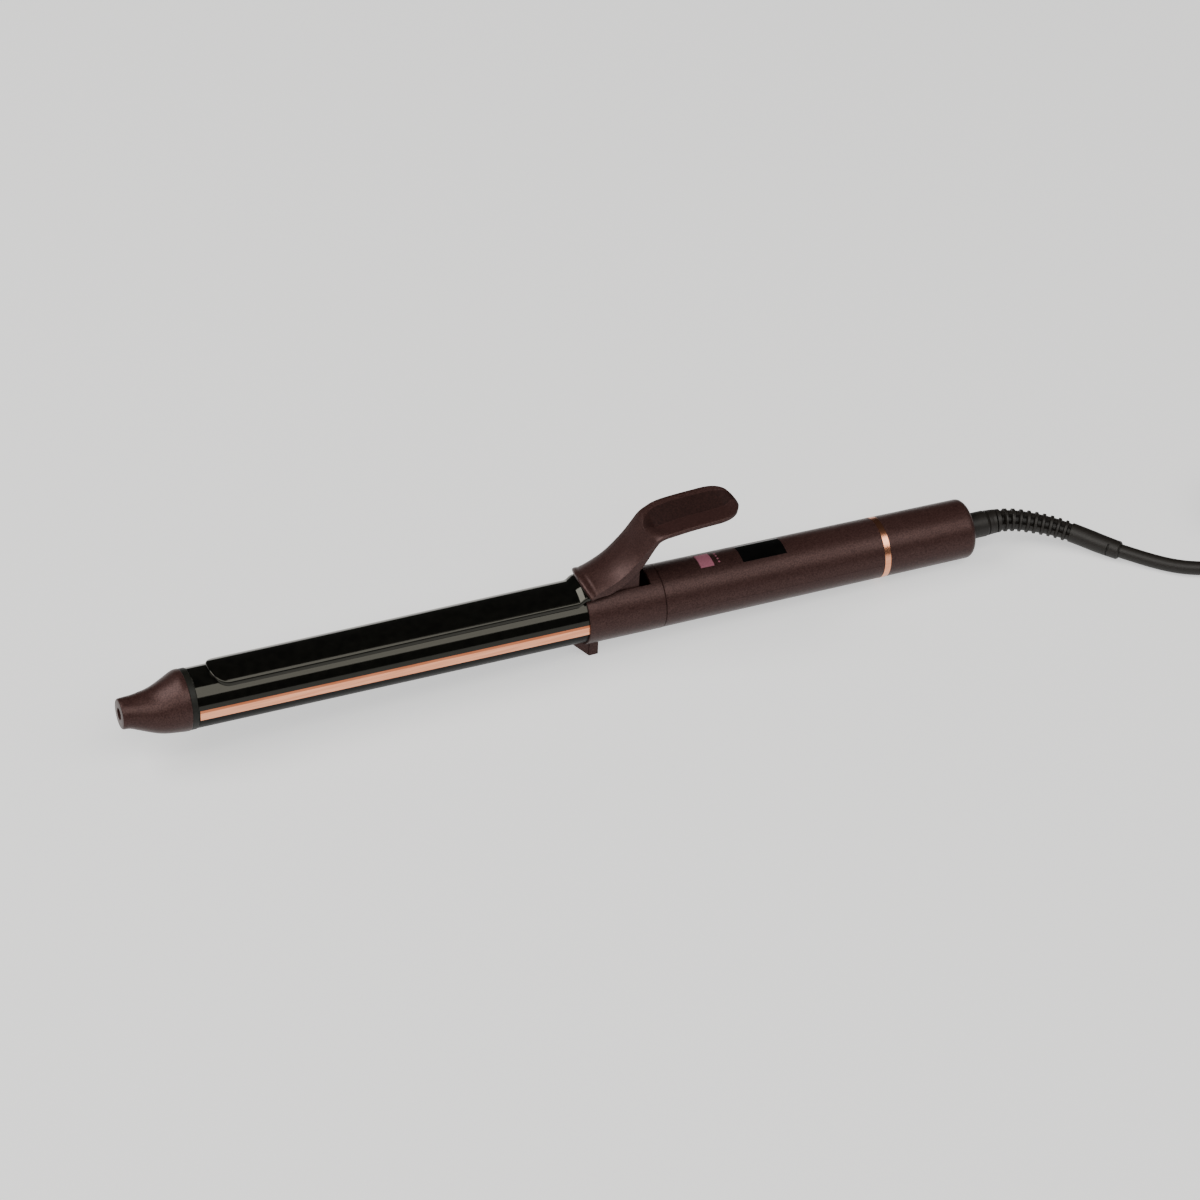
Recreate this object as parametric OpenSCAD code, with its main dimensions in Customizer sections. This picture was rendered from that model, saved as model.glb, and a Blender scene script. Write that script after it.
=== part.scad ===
// A curling iron: a heated barrel with a sprung hair clip, a handle with its controls, and a cord that
// swivels. Inside place(), X is the distance from the round edge of the tip's face along the iron's axis,
// Y runs across it and Z points to the clip's side. place() lays that axis down as the iron lies on
// its stand foot and on the rear edge of its handle, with the tip lifted clear of the table.

/* [Iron] */
// Length from the round edge of the tip's face to the rear face
iron_len = 374; // [372:1:376]
// Angle that the stand foot lifts the axis by, in degrees
tilt = 2.2; // [2.0:0.1:2.4]

/* [Barrel] */
// Outer radius of the barrel
barrel_r = 12.5; // [12.4:0.05:12.55]
// Wall thickness of the barrel
barrel_wall = 1.1; // [1.0:0.05:1.2]
// Radius of the flat face of the tip
face_r = 6.4; // [6.2:0.1:6.5]
// Radius of the screw well in the tip
well_r = 2.4; // [2.2:0.1:2.6]
// Half of the angle that each inlaid strip covers, in degrees
strip_half = 10.6; // [9:0.2:12]
// Thickness of each inlaid strip
strip_thick = 0.5; // [0.4:0.05:0.6]

/* [Clip] */
// Gap between the barrel and the closed clip
clip_gap = 0.35; // [0.3:0.05:0.4]
// Thickness of the clip plate
clip_thick = 1.1; // [1.0:0.1:1.2]
// Half of the clip's width across the barrel
clip_half_w = 8.9; // [8.5:0.1:9.2]
// Rounding of the clip's front corners
clip_corner = 7; // [5:0.5:8]
// Station of the hinge pin
hinge_x = 209; // [208:0.5:210]
// Height of the hinge pin over the axis
hinge_z = 7; // [6.8:0.1:7.2]
// Radius of the hinge pin
pin_r = 1.25; // [1.2:0.05:1.3]

/* [Handle] */
// Outer radius of the collar in front of the handle
collar_r = 13.5; // [13.4:0.05:13.6]
// Radius of the handle where it meets the collar
handle_front_r = 13.4; // [13.3:0.05:13.5]
// Radius of the handle at its rear end
handle_rear_r = 12.75; // [12.7:0.05:12.9]
// Rounding of the rear edge
rear_round = 2.6; // [2:0.2:3]
// Length of the power button along the handle
button_len = 6; // [5.6:0.2:6.4]
// Width of the power button across the handle
button_w = 8.1; // [7.6:0.1:8.4]
// Length of the display window
window_len = 19.8; // [19:0.2:20.4]
// Width of the display window
window_w = 11; // [10.4:0.2:11.4]

/* [Cord] */
// Diameter of the cord
cord_d = 6; // [5.8:0.1:6.2]
// Length of the straight runs of the hank
run_len = 118; // [116:1:120]
// Length of the two plug pins
pin_len = 19; // [18:0.5:20]

/* [Hidden] */

plum = "#4b3833";
black = "#1c1a19";
gold = "#d7a58c";
pink = "#be788c";
steel = "#a8abb0";
ceramic = "#e8e4da";

// Stations along the iron
face_x = -1.4;
band_x = 25.6;
barrel_x = 28.2;
clip_x = 36;
flare_x = 193;
collar_x = 196.8;
rivet_x = [201, 213];
slot_end_x = 226;
seam_x = 230.6;
button_x = 252.5;
dots_x = 258.2;
screw_x = [262, 308];
window_x = 278;
ring_x = 330.7;
cap_x = 333.4;
bearing_x = 366.4;

// Radii and heights that follow from the driving sizes
band_r = barrel_r + 0.35;
bore_r = barrel_r - barrel_wall;
clip_in_r = barrel_r + clip_gap;
clip_out_r = clip_in_r + clip_thick;
saddle_r = 17.9;
tongue_r = saddle_r - 1.7;
shell_in_r = 11.5;
web_half_w = 6;
slot_half_w = 6.4;
spindle_r = 4;
neck_r = 5.6;
edge_x = iron_len / 2 - rear_round * (1 - sin(tilt));
edge_z = handle_rear_r - rear_round * (1 - cos(tilt));
lift = edge_x * sin(tilt) + edge_z * cos(tilt);
smooth = 96;
floor_z = 0;

function handle_r(x) =
    handle_front_r + (handle_rear_r - handle_front_r) * (x - seam_x) / (iron_len - seam_x);
function placed(p) = [
    (p[0] - iron_len / 2) * cos(tilt) + p[2] * sin(tilt),
    p[1],
    lift - (p[0] - iron_len / 2) * sin(tilt) + p[2] * cos(tilt)
];

// ---- shared shapes ----

module place() translate([0, 0, lift]) rotate([0, tilt, 0]) translate([-iron_len / 2, 0, 0]) children();

// A solid turned about the iron's axis, from [radius, station] points
module lathe(outline) rotate([0, 90, 0]) rotate_extrude($fn = smooth) polygon(outline);

module tube(x0, x1, outer, inner = 0)
    lathe([[inner, x0], [outer, x0], [outer, x1], [inner, x1]]);

module rod(from, length, r, fn = 32) translate(from) rotate([0, 90, 0])
    cylinder(h = length, r = r, $fn = fn);

// A cylinder across the iron, centred on its axis plane
module cross_rod(x, z, length, r) translate([x, 0, z]) rotate([90, 0, 0])
    cylinder(h = length, r = r, center = true, $fn = 48);

// A block that is centred across the iron
module block(x0, x1, width, z0, z1) translate([x0, -width / 2, z0]) cube([x1 - x0, width, z1 - z0]);

// A wedge about the axis, around the direction that is turned by `turn` from the top
module wedge(x0, x1, half, turn = 0) {
    reach = 30;
    rotate([turn, 0, 0]) translate([x0, 0, 0]) rotate([90, 0, 90])
        linear_extrude(height = x1 - x0)
            polygon([[0, 0], [reach * tan(half), reach], [-reach * tan(half), reach]]);
}

// A pillar over a plan outline whose two front corners are round
module rounded_plan(x0, x1, half_w, corner, z0, z1) translate([0, 0, z0]) linear_extrude(height = z1 - z0) {
    translate([x0 + corner, -half_w]) square([x1 - x0 - corner, 2 * half_w]);
    translate([x0, -half_w + corner]) square([x1 - x0, 2 * (half_w - corner)]);
    for (side = [-1, 1])
        translate([x0 + corner, side * (half_w - corner)]) circle(r = corner, $fn = 48);
}

function unit(v) = v / norm(v);
function along(path, i) = unit(path[min(i + 1, len(path) - 1)] - path[max(i - 1, 0)]);
function ring_at(path, radii, i, sides, up) =
    let (t = along(path, i), u = unit(cross(up, t)), v = cross(t, u))
    [for (k = [0:sides - 1]) path[i] + radii[i] * (cos(360 * k / sides) * u + sin(360 * k / sides) * v)];

// A closed solid over a row of rings that all have the same number of points
module skin(rings, sides) {
    last = len(rings) / sides - 1;
    walls = [for (i = [0:last - 1], k = [0:sides - 1])
        let (n = (k + 1) % sides, a = i * sides)
        [a + k, a + sides + k, a + sides + n, a + n]];
    front = [[for (k = [0:sides - 1]) k]];
    back = [[for (k = [sides - 1:-1:0]) last * sides + k]];
    polyhedron(points = rings, faces = concat(walls, front, back), convexity = 6);
}

// A tube along a path, with a radius for each of its points
module sweep(path, radii, sides = 10, up = [0, 0, 1])
    skin([for (i = [0:len(path) - 1]) each ring_at(path, radii, i, sides, up)], sides);

function same(path, r) = [for (p = path) r];

// ---- tip ----

// The tip's sections as [station, radius, drop]: it is hollow on top and fuller below
nose = [
    [face_x, face_r - 0.5, 0.25], [face_x + 0.5, face_r, 0.25], [0.6, 6.5, 0.25], [2, 6.65, 0.35],
    [5, 7.3, 1], [8, 8.15, 1.5], [11, 9, 1.9], [14, 9.95, 1.95], [17, 10.9, 1.5], [20, 11.8, 0.8],
    [22, 12.4, 0.3], [23.5, 12.75, 0.05]
];
nose_sides = 48;

module tip_cap() color(plum) place() difference() {
    union() {
        skin([
            for (n = nose, k = [0:nose_sides - 1])
                let (a = 360 * k / nose_sides) [n[0], n[1] * cos(a), n[1] * sin(a) - n[2]]
        ], nose_sides);
        tube(23.4, band_x, band_r);
    }
    tube(face_x - 1, 9.5, well_r);
    tube(9, 13, 1.6);
    lathe([[0, 12.5], [6, 12.5], [bore_r - 2.5, 20], [bore_r - 0.4, band_x], [bore_r - 0.4, 26], [0, 26]]);
}

module tip_screw() color(steel) place() {
    tube(8, 9.5, 2.2);
    tube(9.5, 18.5, 1.3);
}

module tip_bush() color(ceramic) place() difference() {
    lathe([[0, 12.6], [4.5, 12.6], [4.5, band_x], [bore_r, band_x], [bore_r, 34], [0, 34]]);
    tube(12, 20, 1.3);
}

module seal_ring() color(black) place() tube(band_x, barrel_x, barrel_r + 0.2, bore_r);

// ---- barrel and heater ----

module barrel() color(black) place() difference() {
    tube(barrel_x, collar_x + 2.2, barrel_r, bore_r);
    for (turn = [-90, 90]) strip_shape(turn, 0.02);
}

// The strip that lies in the barrel's wall on one side
module strip_shape(turn, gap = 0) intersection() {
    tube(barrel_x + 0.6 - gap, collar_x + 2.2, barrel_r + gap, barrel_r - strip_thick);
    wedge(barrel_x, collar_x + 3, strip_half + gap, turn);
}

module near_strip() color(gold) place() strip_shape(90);

module far_strip() color(gold) place() strip_shape(-90);

module heater_plates() color(ceramic) place() block(64, 156, 14, -1.4, 1.4);

// One half of the clamp that carries the heat from the heater to the barrel
module heat_spreader(side) color(steel) place() intersection() {
    difference() {
        tube(60, 160, bore_r - 0.1);
        difference() {
            tube(59, 161, bore_r - 1.5);
            block(58, 162, 24, -3.2, 3.2);
        }
        block(58, 162, 24, -1.4, 1.4);
    }
    block(50, 170, 30, side > 0 ? 0 : -15, side > 0 ? 15 : 0);
}

module heat_spreader_upper() heat_spreader(1);

module heat_spreader_lower() heat_spreader(-1);

module thermal_fuse() color(steel) place() rod([140, 0, 4.7], 12, 1.5);

module temperature_sensor() color(ceramic) place() rod([100, 0, -4.4], 6, 1.2);

module barrel_bush() color(ceramic) place() difference() {
    tube(186, 203, bore_r);
    tube(185, 204, 6);
    block(collar_x + 2.2, 204, 30, 2, 15);
}

module heater_leads() color(gold) place() for (side = [-1, 1]) rod([157, side * 2, -4.2], 86, 0.8, 24);

// ---- collar ----

// The foot is a flat-sided block with a narrower prow that slopes up to the barrel in front of it
foot_half_w = 5.6;
foot_front_x = 199.8;
foot_rear_x = 203.8;
foot_low_z = -22;
prow_half_w = 5.2;
prow_x = 191;
prow_top_z = -10;
// The line of the prow's front edge meets the table at the block's own front edge
prow_toe_x = foot_front_x + 2.5;
module foot() {
    block(foot_front_x, foot_rear_x, 2 * foot_half_w, foot_low_z, -8);
    difference() {
        lever_side(2 * prow_half_w, [
            [prow_x, prow_top_z], [foot_rear_x - 0.5, prow_top_z], [foot_rear_x - 0.5, foot_low_z],
            [prow_toe_x, foot_low_z], [prow_x, prow_top_z - 0.4]
        ]);
        tube(prow_x - 1, collar_x, barrel_r + 0.3);
    }
}

module front_collar() color(plum) difference() {
    place() difference() {
        union() {
            lathe([
                [0, collar_x], [collar_r - 0.2, collar_x], [collar_r, collar_x + 0.3], [collar_r, seam_x],
                [shell_in_r - 0.05, seam_x], [shell_in_r - 0.05, seam_x + 5.4], [0, seam_x + 5.4]
            ]);
            foot();
        }
        tube(collar_x - 1, collar_x + 2.2, barrel_r);
        difference() {
            tube(collar_x, 228, collar_r - 1.6);
            for (side = [-1, 1])
                translate([hinge_x - 4, side * (slot_half_w + 3) - 3, hinge_z - 4]) cube([8, 6, 8]);
        }
        tube(227, 240, shell_in_r - 1.5);
        block(collar_x - 1, slot_end_x, 2 * slot_half_w, 3, 20);
        cross_rod(hinge_x, hinge_z, 18.6, pin_r);
    }
    translate([-100, -100, floor_z - 50]) cube([200, 200, 50]);
}

module hinge_pin() color(steel) place() cross_rod(hinge_x, hinge_z, 18.6, pin_r);

// A torsion spring: close turns about the pin, one leg on the lever and one on the collar's floor
spring_r = 2.35;
spring_wire = 0.45;
spring_turns = 5;
spring_steps = 16;
spring_pitch = 1.1;
spring_coil = [
    for (i = [0:spring_turns * spring_steps])
        let (a = -90 + 360 * i / spring_steps)
        [
            hinge_x + spring_r * cos(a),
            spring_pitch * (i / spring_steps - spring_turns / 2),
            hinge_z + spring_r * sin(a)
        ]
];
spring_path = concat(
    [[hinge_x - 7, spring_coil[0][1], hinge_z - spring_r - 0.5]],
    spring_coil,
    [[hinge_x + 9, spring_coil[len(spring_coil) - 1][1], hinge_z - spring_r - 0.2]]
);

module clip_spring() color(steel) place() sweep(spring_path, same(spring_path, spring_wire), 6, [0, 1, 0]);

// ---- clip and lever ----

// The plate follows the barrel, climbs a short flare and ends as a tongue under the lever's saddle
module clip_shape(extra = 0) intersection() {
    lathe([
        [clip_in_r - extra, clip_x], [clip_out_r, clip_x], [clip_out_r, flare_x],
        [tongue_r + extra, collar_x - 0.6], [tongue_r + extra, 216 + extra],
        [tongue_r - clip_thick - extra, 216 + extra], [tongue_r - clip_thick - extra, collar_x - 0.2],
        [clip_in_r - extra, flare_x + 0.6]
    ]);
    union() {
        rounded_plan(clip_x, collar_x, clip_half_w, clip_corner, 0, 30);
        rounded_plan(flare_x - 20, 216 + extra, 5 + extra, 1, 0, 30);
    }
}

module clip_plate() color(black) place() difference() {
    clip_shape();
    rivet_holes(0.8);
}

module rivet_holes(r) for (x = rivet_x) translate([x, 0, 10]) cylinder(h = 20, r = r, $fn = 24);

// Heights of the lever's upper face at stations along it
lever_end_x = 265.6;
lever_top = [
    [198, 15.6], [202, 16.9], [207, 19.2], [211, 21.7], [215, 25.2], [219, 29.4], [223, 34.4], [226, 37.9],
    [230, 39.4], [236, 40.7], [244, 41.5], [254, 42.1], [262, 42.8], [264.5, 42],
    [lever_end_x, 41]
];
lever_thick = 3;
lip_half_w = 11.1;

// Each point of the lower face lies lever_thick under the upper one, square to it
lever_under = [
    for (i = [len(lever_top) - 1:-1:0])
        let (d = along(lever_top, i))
        lever_top[i] + lever_thick * [d[1], -d[0]]
];

// The lever's free end is rounded over lever_round, a little fuller than an ellipse
lever_round = 12.7;
lever_half_w = 12.1;
round_power = 2.37;
function round_off(t) = lever_half_w * sqrt(1 - pow(t, round_power));
module lever_plan() {
    translate([197, -10.2]) square([26, 20.4]);
    polygon([[222, -10.2], [236, -lever_half_w], [236, lever_half_w], [222, 10.2]]);
    translate([235.9, -lever_half_w]) square([lever_end_x - lever_round - 235.8, 2 * lever_half_w]);
    polygon([
        for (side = [-1, 1], i = [0:24])
            let (t = sin(90 * (side < 0 ? i : 24 - i) / 24))
            [lever_end_x - lever_round * (1 - t), side * round_off(t)]
    ]);
}

module lever_side(width, outline) rotate([90, 0, 0]) linear_extrude(height = width, center = true)
    polygon(outline);

module thumb_lever() color(plum) place() difference() {
    union() {
        intersection() {
            lever_side(26, concat(lever_top, lever_under));
            linear_extrude(height = 60) lever_plan();
        }
        intersection() {
            tube(collar_x, hinge_x, saddle_r, tongue_r);
            rounded_plan(collar_x, 220, lip_half_w, 1, 10, 30);
        }
        lever_side(2 * web_half_w, [
            [203, 15], [203, 13.9], [205.8, 8.5], [205.8, 4.2], [208, 3.4], [212, 4], [218, 7.4],
            [221, 10], [221, 29.5], [215, 22.6], [209, 18.5]
        ]);
    }
    block(hinge_x - 5, hinge_x + 6.4, 7.4, 0, hinge_z + 3.2);
    cross_rod(hinge_x, hinge_z, 30, pin_r + 0.05);
    clip_shape(0.02);
    intersection() {
        tube(190, 204, tongue_r - clip_thick);
        block(190, 204, 30, 0, 20);
    }
    rivet_holes(0.8);
    lever_pad_shape();
}

// The thumb pad lies in a shallow pocket in the lever's upper face
pad_points = [for (p = lever_top) if (p[0] >= 230 && p[0] <= 262) p];
module lever_pad_shape() intersection() {
    lever_side(24, concat(
        [for (p = pad_points) p + [0, 0.3]],
        [for (i = [len(pad_points) - 1:-1:0]) pad_points[i] - [0, 1]]
    ));
    rounded_plan(230, 262, 9, 4, 20, 60);
}

module lever_pad() color("#321c19") place() intersection() {
    lever_pad_shape();
    lever_side(26, concat(lever_top, lever_under));
}

module clip_rivets() color(steel) place() for (x = rivet_x)
    translate([x, 0, tongue_r - clip_thick - 0.5]) cylinder(h = clip_thick + 1.3, r = 0.8, $fn = 24);

// ---- handle ----

button_gap = 0.2;

module shell_body() difference() {
    lathe([
        [shell_in_r, seam_x + 0.3], [handle_r(seam_x) - 0.3, seam_x + 0.3],
        [handle_r(seam_x), seam_x + 0.6], [handle_r(ring_x), ring_x], [shell_in_r, ring_x]
    ]);
    tube(322, ring_x + 1, shell_in_r + 0.05);
}

module handle_upper() color(plum) place() difference() {
    intersection() {
        shell_body();
        block(200, 340, 40, 0.05, 20);
    }
    block(
        button_x - button_len / 2 - button_gap, button_x + button_len / 2 + button_gap,
        button_w + 2 * button_gap, 5, 20
    );
    window_hole(0.03);
    dots(0.47);
}

module handle_lower() color(plum) place() difference() {
    union() {
        intersection() {
            shell_body();
            block(200, 340, 40, -20, -0.05);
        }
        for (x = screw_x) intersection() {
            translate([x, 0, -12.4]) cylinder(h = 11.2, r = 3, $fn = 48);
            tube(200, 340, 12.6);
        }
    }
    for (x = screw_x) {
        translate([x, 0, -20]) cylinder(h = 12, r = 2.2, $fn = 48);
        translate([x, 0, -9]) cylinder(h = 12, r = 1.2, $fn = 48);
    }
}

// Two screws come up through the lower shell and clamp the circuit board's frame
module shell_screws() color(steel) place() for (x = screw_x) {
    translate([x, 0, -9.9]) cylinder(h = 1.9, r = 2, $fn = 32);
    translate([x, 0, -8]) cylinder(h = 8, r = 1.2, $fn = 32);
}

module circuit_board() color("#2f5a3c") place() difference() {
    block(243, 320, 17, -1.2, 0.4);
    for (x = screw_x) translate([x, 0, -3]) cylinder(h = 6, r = 1.2, $fn = 32);
}

switch_top = 6;
module button_switch() color(black) place() {
    block(button_x - 3, button_x + 3, 6, 0.4, switch_top - 1);
    translate([button_x, 0, switch_top - 1]) cylinder(h = 1, r = 1.6, $fn = 32);
}

// A dome that flexes between the switch and the button's stem
dome_top = 8.8;
module button_spring() color(steel) place() translate([button_x, 0, 0]) rotate_extrude($fn = 48) polygon([
    [2, switch_top - 1], [3, switch_top - 1], [2, dome_top],
    [0, dome_top], [0, dome_top - 0.6], [1.5, dome_top - 0.6]
]);

module power_button() color(pink) place() {
    intersection() {
        tube(200, 300, handle_r(button_x) + 0.25);
        block(button_x - button_len / 2, button_x + button_len / 2, button_w, 10.5, 20);
    }
    intersection() {
        tube(button_x - 4, button_x + 4, shell_in_r - 0.3);
        block(button_x - 4, button_x + 4, button_w + 1, 9.3, 20);
    }
    translate([button_x, 0, dome_top + 0.1]) cylinder(h = 0.6, r = 1.6, $fn = 32);
}

module dots(r) for (turn = [-12, -4, 4, 12]) rotate([turn, 0, 0])
    translate([dots_x, 0, 10]) cylinder(h = 5, r = r, $fn = 24);

module indicator_dots() color(pink) place() intersection() {
    dots(0.45);
    tube(200, 300, handle_r(dots_x) + 0.05, shell_in_r - 0.6);
}

module display_module() color(black) place() block(window_x - 9, window_x + 9, 9.6, 0.4, 9.6);

module window_hole(gap) block(
    window_x - window_len / 2 - gap, window_x + window_len / 2 + gap, window_w + 2 * gap, 8, 20
);

module display_window() color("#060606") place() intersection() {
    lathe([
        [10.9, seam_x], [handle_r(seam_x) + 0.06, seam_x],
        [handle_r(ring_x) + 0.06, ring_x], [10.9, ring_x]
    ]);
    window_hole(0);
}

module rose_ring() color(gold) place()
    tube(ring_x + 0.02, cap_x, handle_r(ring_x) + 0.08, shell_in_r + 0.05);

module rear_cap() color(plum) place() difference() {
    lathe([
        [0, 323], [shell_in_r, 323], [shell_in_r, cap_x + 0.05], [handle_r(cap_x), cap_x + 0.05],
        [handle_rear_r, iron_len - rear_round],
        for (a = [15:15:75]) [
            handle_rear_r - rear_round * (1 - cos(a)), iron_len - rear_round * (1 - sin(a))
        ],
        [handle_rear_r - rear_round, iron_len], [0, iron_len]
    ]);
    tube(322, bearing_x, shell_in_r - 1.3);
    tube(360, iron_len + 1, neck_r - 0.1);
}

// ---- cord ----

module swivel_bearing() color(black) place()
    tube(bearing_x, iron_len - 0.4, neck_r - 0.1, spindle_r + 0.05);

neck_x = 384;
module swivel_collar() color(black) place() {
    tube(bearing_x - 2, bearing_x - 0.3, 7.6);
    tube(bearing_x - 0.4, iron_len + 1, spindle_r);
    lathe([
        [0, iron_len + 0.3], [neck_r, iron_len + 0.3], [neck_r, neck_x - 1.2],
        [neck_r - 0.5, neck_x], [0, neck_x]
    ]);
}

// Centre line of the strain relief, bent down to the table and to the near side
relief_path = [
    placed([neck_x, 0, 0]), placed([neck_x + 2.4, 0, 0]), [202, -0.5, 12.3], [205, -0.9, 12.1],
    [208, -1.7, 11.9], [211, -2.8, 11.6], [214, -4.2, 11.2], [217, -5.7, 10.7], [219.9, -7.3, 10.2],
    [222.7, -9, 9.7], [225.4, -10.8, 9.1], [228, -12.8, 8.5], [230.5, -14.8, 7.9], [232.9, -17, 7.3],
    [235.2, -19.2, 6.7], [237.4, -21.5, 6.2], [239.6, -23.8, 5.7], [241.8, -26.1, 5.3], [244, -28.3, 4.9],
    [246, -30.3, 4.6]
];
function between(path, i, f) = path[i] + f * (path[i + 1] - path[i]);
rib_r = 5.2;
rib_taper = 0.05;
groove_r = 3.9;
// Each stretch of the ribbed part is one rib and one groove
ribs = [
    for (i = [1:12]) each [
        [between(relief_path, i, 0.02), rib_r - rib_taper * i],
        [between(relief_path, i, 0.42), rib_r - rib_taper * i],
        [between(relief_path, i, 0.5), groove_r], [between(relief_path, i, 0.94), groove_r]
    ]
];
relief_end = [for (i = [13:len(relief_path) - 1]) [relief_path[i], 4.1]];
relief_rings = concat([[relief_path[0], 4.4]], ribs, relief_end);

module strain_relief() color(black) sweep([for (q = relief_rings) q[0]], [for (q = relief_rings) q[1]], 16);

cord_route = [
    [246, -30.3, 4.6], [250, -34.4, 4.2], [254, -38.4, 3.8], [258, -42.2, 3.5], [262, -45.8, 3.4],
    [266.5, -49.2, 3.4], [271.5, -52, 3.4], [277, -54.2, 3.4], [283, -55.8, 3.5], [289, -56.6, 3.6],
    [295, -56.9, 3.7], [302, -57, 3.8], [309, -57, 3.9], [316, -57, 3.9], [322, -57, 3.9]
];

module power_cord() color(black) sweep(cord_route, same(cord_route, cord_d / 2), 10);

// The hank: straight runs that a tie draws together at their middle, with round ends
fold_r = 4 * cord_d;
hank_x = 322;
hank_y = -33;
hank_z = 0.9;
hank_h = 3 * cord_d + 0.5;
pinch = 10;
hank_r = fold_r + cord_d / 2;
waist = hank_r - pinch;
function hank_side(side) = [
    for (i = [0:24]) [side * run_len * (i / 24 - 0.5), side * (hank_r - pinch * (1 - cos(15 * i)) / 2)]
];
function hank_end(side) = [
    for (a = [5:5:175]) side * [run_len / 2 + hank_r * sin(a), hank_r * cos(a)]
];

module hank_plan() translate([hank_x + run_len / 2, hank_y])
    polygon(concat(hank_side(1), hank_end(1), hank_side(-1), hank_end(-1)));

module cord_hank() color(black) translate([0, 0, hank_z]) linear_extrude(height = hank_h) hank_plan();

tie_w = 10;
module cord_tie() color(black) difference() {
    translate([hank_x + run_len / 2 - tie_w / 2, hank_y - waist - 1.2, 0])
        cube([tie_w, 2 * waist + 2.4, hank_h + 2 * hank_z]);
    translate([0, 0, hank_z]) linear_extrude(height = hank_h) hank_plan();
}

tail_route = [
    [440, -57, 16.2], [445, -57, 16.2], [449, -57, 15.8], [454, -57, 14.6], [459, -57, 12.9],
    [464, -57, 11], [469, -57, 9.2], [474, -57, 7.9], [478, -57, 7.2], [482, -57, 7]
];

module cord_tail() color(black) sweep(tail_route, same(tail_route, cord_d / 2), 10);

// A flat two-pin plug that lies on the table and points away from the iron
plug_x = 482;
plug_y = -57;
plug_z = 7;
plug_body_x = plug_x + 22;
body_len = 30;
body_half = 10.8;
body_r = 6.85;
plug_face_x = plug_body_x + body_len;
pin_pitch = 18.6;
plug_pin_r = 2;
root_r = 1.5;
root_len = 6;

module plug_body() color(black) translate([0, plug_y, plug_z]) difference() {
    union() {
        rotate([0, 90, 0]) rotate_extrude($fn = 48)
            polygon([[0, plug_x], [4, plug_x], [5.6, plug_body_x], [0, plug_body_x]]);
        translate([plug_body_x, 0, 0]) rotate([90, 0, 90]) linear_extrude(height = body_len) {
            square([2 * body_half, 2 * body_r], center = true);
            for (side = [-1, 1]) translate([side * body_half, 0]) circle(r = body_r, $fn = 64);
        }
    }
    for (side = [-1, 1]) rod([plug_face_x - root_len, side * pin_pitch / 2, 0], root_len + 1, root_r, 48);
}

// Each pin's narrower root is held in the plug, and its full thickness starts at the plug's face
module plug_pins() color(steel) translate([0, plug_y, plug_z]) for (side = [-1, 1])
    translate([plug_face_x, side * pin_pitch / 2, 0]) rotate([0, 90, 0]) rotate_extrude($fn = 48) polygon([
        [0, -root_len], [root_r, -root_len], [root_r, 0], [plug_pin_r, 0],
        [plug_pin_r, pin_len - 1], [plug_pin_r - 0.7, pin_len], [0, pin_len]
    ]);

tip_cap();
tip_screw();
tip_bush();
seal_ring();
barrel();
near_strip();
far_strip();
heater_plates();
heat_spreader_upper();
heat_spreader_lower();
thermal_fuse();
temperature_sensor();
barrel_bush();
heater_leads();
front_collar();
hinge_pin();
clip_spring();
clip_plate();
thumb_lever();
lever_pad();
clip_rivets();
handle_upper();
handle_lower();
shell_screws();
circuit_board();
button_switch();
display_module();
power_button();
button_spring();
indicator_dots();
display_window();
rose_ring();
rear_cap();
swivel_bearing();
swivel_collar();
strain_relief();
power_cord();
cord_hank();
cord_tail();
cord_tie();
plug_body();
plug_pins();
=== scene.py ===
import math

import bpy
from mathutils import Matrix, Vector


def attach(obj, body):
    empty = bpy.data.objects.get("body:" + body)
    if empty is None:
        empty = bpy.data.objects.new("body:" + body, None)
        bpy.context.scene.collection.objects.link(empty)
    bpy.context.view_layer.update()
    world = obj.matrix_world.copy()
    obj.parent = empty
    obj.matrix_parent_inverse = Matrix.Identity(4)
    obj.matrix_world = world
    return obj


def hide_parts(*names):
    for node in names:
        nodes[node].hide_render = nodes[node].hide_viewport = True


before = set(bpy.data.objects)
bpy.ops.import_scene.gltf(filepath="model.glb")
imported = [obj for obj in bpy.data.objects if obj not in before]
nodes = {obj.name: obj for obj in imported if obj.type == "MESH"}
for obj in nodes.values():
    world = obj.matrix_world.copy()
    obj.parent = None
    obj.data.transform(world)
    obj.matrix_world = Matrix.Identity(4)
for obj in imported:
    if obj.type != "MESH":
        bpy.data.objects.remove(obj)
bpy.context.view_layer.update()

# ---------------------------------------------------------------- the iron's own frame
TILT = math.radians(2.2)
LEN = 374.0
REAR_R, REAR_ROUND = 12.75, 2.6
EDGE_X = LEN / 2 - REAR_ROUND * (1 - math.sin(TILT))
EDGE_Z = REAR_R - REAR_ROUND * (1 - math.cos(TILT))
LIFT = EDGE_X * math.sin(TILT) + EDGE_Z * math.cos(TILT)


def at(s, y, z):
    """A point in the iron's frame (mm: station, across, up), in the row frame (m)."""
    x = s - LEN / 2
    return Vector((
        (x * math.cos(TILT) + z * math.sin(TILT)) / 1000,
        y / 1000,
        (LIFT - x * math.sin(TILT) + z * math.cos(TILT)) / 1000,
    ))


def mm(p):
    """A point in millimetres as a point in metres."""
    return Vector((p[0] / 1000, p[1] / 1000, p[2] / 1000))


# ---------------------------------------------------------------- camera
cam = bpy.data.objects.new("camera", bpy.data.cameras.new("camera"))
bpy.context.scene.collection.objects.link(cam)
cam.data.lens = 138
cam.data.sensor_width = 36
cam.location = (-0.5432, -1.3825, 1.2028)
cam.rotation_euler = (math.radians(90 - 38.32), 0, math.radians(-22.14))
bpy.context.scene.camera = cam


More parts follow.
